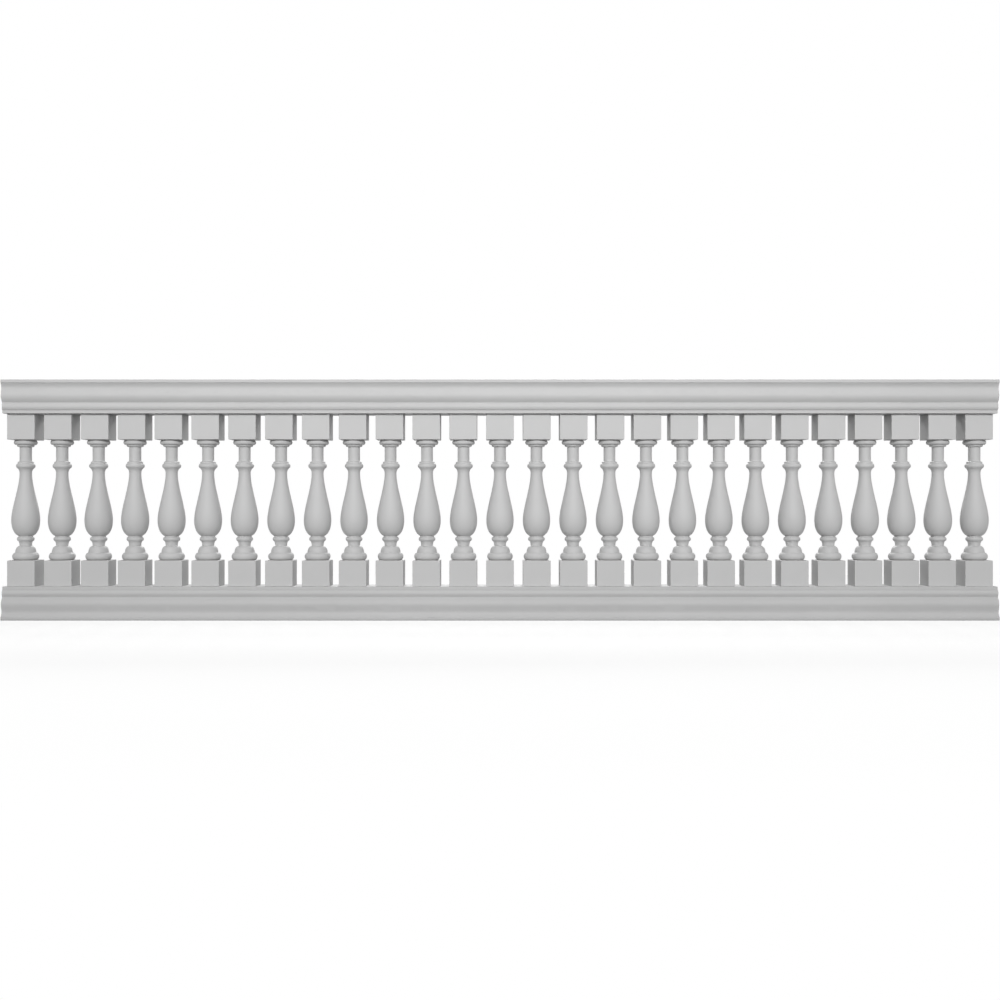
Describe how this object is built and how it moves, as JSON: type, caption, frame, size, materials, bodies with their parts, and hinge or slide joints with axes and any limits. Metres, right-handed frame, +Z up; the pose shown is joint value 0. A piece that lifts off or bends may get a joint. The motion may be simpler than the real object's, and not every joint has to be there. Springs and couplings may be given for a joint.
{
  "type": "fibreglass balustrade section",
  "caption": "Straight balustrade section: moulded bottom rail, a row of vase-turned balusters with square blocks, and a matching top rail.",
  "frame": {"origin": "on the ground, at the middle of the underside of the bottom rail", "axes": "+X along the rails to the right, +Y through the balustrade away from the front, +Z up"},
  "size_m": [3.658, 0.179, 0.883],
  "materials": {
    "gelcoat_rail": "matt white gel coat on moulded glass fibre",
    "gelcoat_baluster": "matt white gel coat on moulded glass fibre",
    "galvanised_pipe": "galvanised steel, matt"
  },
  "bodies": {
    "root": {"bottom_rail": "gelcoat_rail", "top_rail": "gelcoat_rail", "baluster_01": "gelcoat_baluster", "baluster_02": "gelcoat_baluster", "baluster_03": "gelcoat_baluster", "baluster_04": "gelcoat_baluster", "baluster_05": "gelcoat_baluster", "baluster_06": "gelcoat_baluster", "baluster_07": "gelcoat_baluster", "baluster_08": "gelcoat_baluster", "baluster_09": "gelcoat_baluster", "baluster_10": "gelcoat_baluster", "baluster_11": "gelcoat_baluster", "baluster_12": "gelcoat_baluster", "baluster_13": "gelcoat_baluster", "baluster_14": "gelcoat_baluster", "baluster_15": "gelcoat_baluster", "baluster_16": "gelcoat_baluster", "baluster_17": "gelcoat_baluster", "baluster_18": "gelcoat_baluster", "baluster_19": "gelcoat_baluster", "baluster_20": "gelcoat_baluster", "baluster_21": "gelcoat_baluster", "baluster_22": "gelcoat_baluster", "baluster_23": "gelcoat_baluster", "baluster_24": "gelcoat_baluster", "baluster_25": "gelcoat_baluster", "baluster_26": "gelcoat_baluster", "baluster_27": "gelcoat_baluster", "pipes_left": "galvanised_pipe", "pipes_middle": "galvanised_pipe", "pipes_right": "galvanised_pipe"}
  },
  "joints": []
}
